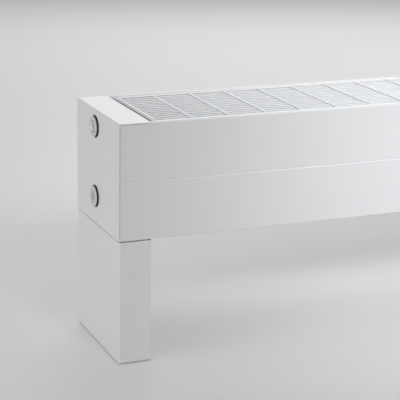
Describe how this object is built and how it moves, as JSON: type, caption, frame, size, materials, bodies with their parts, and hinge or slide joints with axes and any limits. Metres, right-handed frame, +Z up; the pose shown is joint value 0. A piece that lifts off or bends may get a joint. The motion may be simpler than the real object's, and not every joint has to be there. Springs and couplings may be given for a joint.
{
  "type": "low hot-water convector heater",
  "caption": "Low floor-standing hot-water convector heater: a long white steel casing with a perforated lift-off top grille, end plugs and a finned flat-tube exchanger, on box-shaped feet.",
  "frame": {"origin": "on the floor, under the centre of the whole heater's bounding box", "axes": "+X along the casing, away from the plugged end; +Y towards the back; +Z up"},
  "size_m": [1.203, 0.155, 0.296],
  "materials": {
    "casing_paint": "semi-gloss white powder coat",
    "inner_paint": "satin white dip coat",
    "zinc_steel": "zinc-plated sheet steel",
    "nickel": "satin nickel plate",
    "rubber": "matt black rubber",
    "plastic": "moulded off-white plastic",
    "brass": "turned brass"
  },
  "bodies": {
    "casing": {"back_panel": "casing_paint", "blind_plug": "nickel", "blind_plug_seal": "rubber", "brace_left": "inner_paint", "brace_right": "inner_paint", "cover_screw_left": "zinc_steel", "cover_screw_right": "zinc_steel", "cradle_pad_left": "plastic", "cradle_pad_right": "plastic", "end_cap_left": "casing_paint", "end_cap_right": "casing_paint", "fins_front": "zinc_steel", "fins_middle": "zinc_steel", "fins_rear": "zinc_steel", "floor_pad_front_left": "rubber", "floor_pad_front_right": "rubber", "floor_pad_rear_left": "rubber", "floor_pad_rear_right": "rubber", "foot_base_plate_left": "zinc_steel", "foot_base_plate_right": "zinc_steel", "foot_bolt_front_left": "zinc_steel", "foot_bolt_front_right": "zinc_steel", "foot_bolt_rear_left": "zinc_steel", "foot_bolt_rear_right": "zinc_steel", "foot_cover_left": "casing_paint", "foot_cover_right": "casing_paint", "foot_top_plate_left": "zinc_steel", "foot_top_plate_right": "zinc_steel", "foot_upright_left": "zinc_steel", "foot_upright_right": "zinc_steel", "front_panel": "casing_paint", "grille_buffer_front_left": "rubber", "grille_buffer_front_right": "rubber", "grille_buffer_rear_left": "rubber", "grille_buffer_rear_right": "rubber", "header_left": "inner_paint", "header_right": "inner_paint", "mount_bar_left": "zinc_steel", "mount_bar_right": "zinc_steel", "panel_bracket_front_left": "zinc_steel", "panel_bracket_front_right": "zinc_steel", "panel_bracket_rear_left": "zinc_steel", "panel_bracket_rear_right": "zinc_steel", "socket_lower_left": "zinc_steel", "socket_lower_right": "zinc_steel", "socket_upper_left": "zinc_steel", "socket_upper_right": "zinc_steel", "tube_front_lower": "inner_paint", "tube_front_upper": "inner_paint", "tube_middle_lower": "inner_paint", "tube_middle_upper": "inner_paint", "tube_rear_lower": "inner_paint", "tube_rear_upper": "inner_paint", "vent_plug": "nickel", "vent_plug_seal": "rubber"},
    "grille": {"grille": "casing_paint"},
    "vent_nozzle": {"vent_nozzle": "plastic"},
    "bleed_screw": {"bleed_screw": "brass"}
  },
  "joints": [
    {"name": "grille_lift", "type": "slide", "parent": "casing", "child": "grille", "axis": [0, 0, 1], "range_m": [0, 0.08]},
    {"name": "nozzle_turn", "type": "hinge", "parent": "casing", "child": "vent_nozzle", "pos_m": [-0.6015, 0.0085, 0.275], "axis": [-1, 0, 0], "continuous": true},
    {"name": "bleed_screw_turn", "type": "hinge", "parent": "casing", "child": "bleed_screw", "pos_m": [-0.6015, 0.0085, 0.275], "axis": [-1, 0, 0], "range_deg": [0, 360]}
  ]
}
